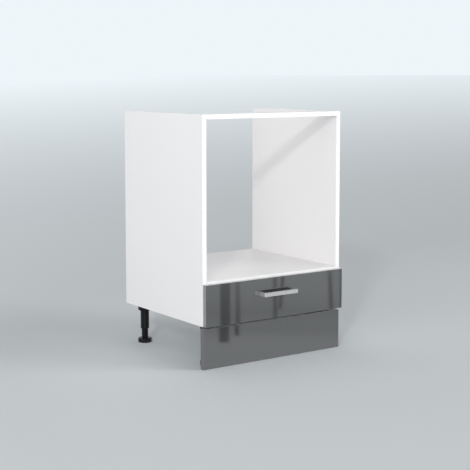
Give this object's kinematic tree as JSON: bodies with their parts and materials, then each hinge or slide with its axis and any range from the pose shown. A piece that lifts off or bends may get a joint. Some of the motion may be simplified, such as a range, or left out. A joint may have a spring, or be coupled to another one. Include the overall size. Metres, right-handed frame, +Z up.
{
  "type": "base oven housing unit",
  "caption": "Base cabinet for a built-in oven: open oven compartment over a roller-runner drawer, gloss grey front and clip-on plinth, white carcass on adjustable legs.",
  "frame": {"origin": "on the floor, below the middle of the bounding box; the handle counts in the box", "axes": "+Z up along the cabinet height, -Y out of the front towards the user, +X to the user's right"},
  "size_m": [0.6, 0.568, 0.87],
  "materials": {
    "white_melamine": "satin white melamine on chipboard",
    "white_edge_band": "smooth bright white edge band",
    "white_hardboard": "thin white-faced hardboard",
    "beech": "plain fluted beech dowel",
    "grey_lacquer": "high-gloss dark grey lacquered board",
    "brushed_metal": "fine brushed light metal",
    "coated_steel": "smooth light epoxy-coated sheet steel",
    "zinc_steel": "bright zinc-plated steel",
    "white_plastic": "white moulded plastic",
    "black_plastic": "black moulded plastic, slight sheen",
    "clear_rubber": "soft translucent bumper pad"
  },
  "bodies": {
    "carcass": {"left_side_panel": "white_melamine", "right_side_panel": "white_melamine", "bottom_panel": "white_melamine", "oven_shelf": "white_melamine", "top_front_rail": "white_melamine", "lower_back_panel": "white_hardboard", "left_side_edge_band": "white_edge_band", "right_side_edge_band": "white_edge_band", "bottom_edge_band": "white_edge_band", "shelf_edge_band": "white_edge_band", "rail_edge_band": "white_edge_band", "bottom_dowel_left_front": "beech", "bottom_dowel_left_rear": "beech", "bottom_dowel_right_front": "beech", "bottom_dowel_right_rear": "beech", "shelf_dowel_left_front": "beech", "shelf_dowel_left_rear": "beech", "shelf_dowel_right_front": "beech", "shelf_dowel_right_rear": "beech", "rail_dowel_left_front": "beech", "rail_dowel_left_rear": "beech", "rail_dowel_right_front": "beech", "rail_dowel_right_rear": "beech", "leg_plate_front_left": "black_plastic", "leg_plate_front_right": "black_plastic", "leg_plate_rear_left": "black_plastic", "leg_plate_rear_right": "black_plastic", "leg_sleeve_front_left": "black_plastic", "leg_sleeve_front_right": "black_plastic", "leg_sleeve_rear_left": "black_plastic", "leg_sleeve_rear_right": "black_plastic", "cabinet_runner_left": "coated_steel", "cabinet_runner_right": "coated_steel", "cabinet_axle_left": "zinc_steel", "cabinet_axle_right": "zinc_steel"},
    "drawer": {"drawer_front": "grey_lacquer", "handle": "brushed_metal", "handle_screw_left": "zinc_steel", "handle_screw_right": "zinc_steel", "drawer_side_left": "coated_steel", "drawer_side_right": "coated_steel", "front_bracket_left": "zinc_steel", "front_bracket_right": "zinc_steel", "front_bumper_left": "clear_rubber", "front_bumper_right": "clear_rubber", "drawer_axle_left": "zinc_steel", "drawer_axle_right": "zinc_steel", "drawer_bottom": "white_melamine", "drawer_back": "white_melamine"},
    "plinth": {"plinth_board": "grey_lacquer", "plinth_clip_left": "black_plastic", "plinth_clip_right": "black_plastic"},
    "foot_front_left": {"leg_foot_front_left": "black_plastic"},
    "foot_front_right": {"leg_foot_front_right": "black_plastic"},
    "foot_rear_left": {"leg_foot_rear_left": "black_plastic"},
    "foot_rear_right": {"leg_foot_rear_right": "black_plastic"},
    "cabinet_roller_left": {"cabinet_roller_left": "white_plastic"},
    "cabinet_roller_right": {"cabinet_roller_right": "white_plastic"},
    "drawer_roller_left": {"drawer_roller_left": "white_plastic"},
    "drawer_roller_right": {"drawer_roller_right": "white_plastic"}
  },
  "joints": [
    {"name": "drawer_slide", "type": "slide", "parent": "carcass", "child": "drawer", "axis": [0, -1, 0], "range_m": [0, 0.375]},
    {"name": "plinth_pull", "type": "slide", "parent": "carcass", "child": "plinth", "axis": [0, -1, 0], "range_m": [0, 0.1]},
    {"name": "foot_front_left_adjust", "type": "slide", "parent": "carcass", "child": "foot_front_left", "axis": [0, 0, 1], "range_m": [-0.02, 0.03]},
    {"name": "foot_front_right_adjust", "type": "slide", "parent": "carcass", "child": "foot_front_right", "axis": [0, 0, 1], "range_m": [-0.02, 0.03]},
    {"name": "foot_rear_left_adjust", "type": "slide", "parent": "carcass", "child": "foot_rear_left", "axis": [0, 0, 1], "range_m": [-0.02, 0.03]},
    {"name": "foot_rear_right_adjust", "type": "slide", "parent": "carcass", "child": "foot_rear_right", "axis": [0, 0, 1], "range_m": [-0.02, 0.03]},
    {"name": "cabinet_roller_left_spin", "type": "hinge", "parent": "carcass", "child": "cabinet_roller_left", "pos_m": [-0.2777, -0.219, 0.191], "axis": [1, 0, 0], "continuous": true},
    {"name": "cabinet_roller_right_spin", "type": "hinge", "parent": "carcass", "child": "cabinet_roller_right", "pos_m": [0.2777, -0.219, 0.191], "axis": [1, 0, 0], "continuous": true},
    {"name": "drawer_roller_left_spin", "type": "hinge", "parent": "drawer", "child": "drawer_roller_left", "pos_m": [-0.2777, 0.25, 0.1885], "axis": [1, 0, 0], "continuous": true},
    {"name": "drawer_roller_right_spin", "type": "hinge", "parent": "drawer", "child": "drawer_roller_right", "pos_m": [0.2777, 0.25, 0.1885], "axis": [1, 0, 0], "continuous": true}
  ],
  "couplings": [
    {"joint": "cabinet_roller_left_spin", "follows": "drawer_slide", "rad_per_m": 111.11},
    {"joint": "cabinet_roller_right_spin", "follows": "drawer_slide", "rad_per_m": 111.11},
    {"joint": "drawer_roller_left_spin", "follows": "drawer_slide", "rad_per_m": 111.11},
    {"joint": "drawer_roller_right_spin", "follows": "drawer_slide", "rad_per_m": 111.11}
  ]
}
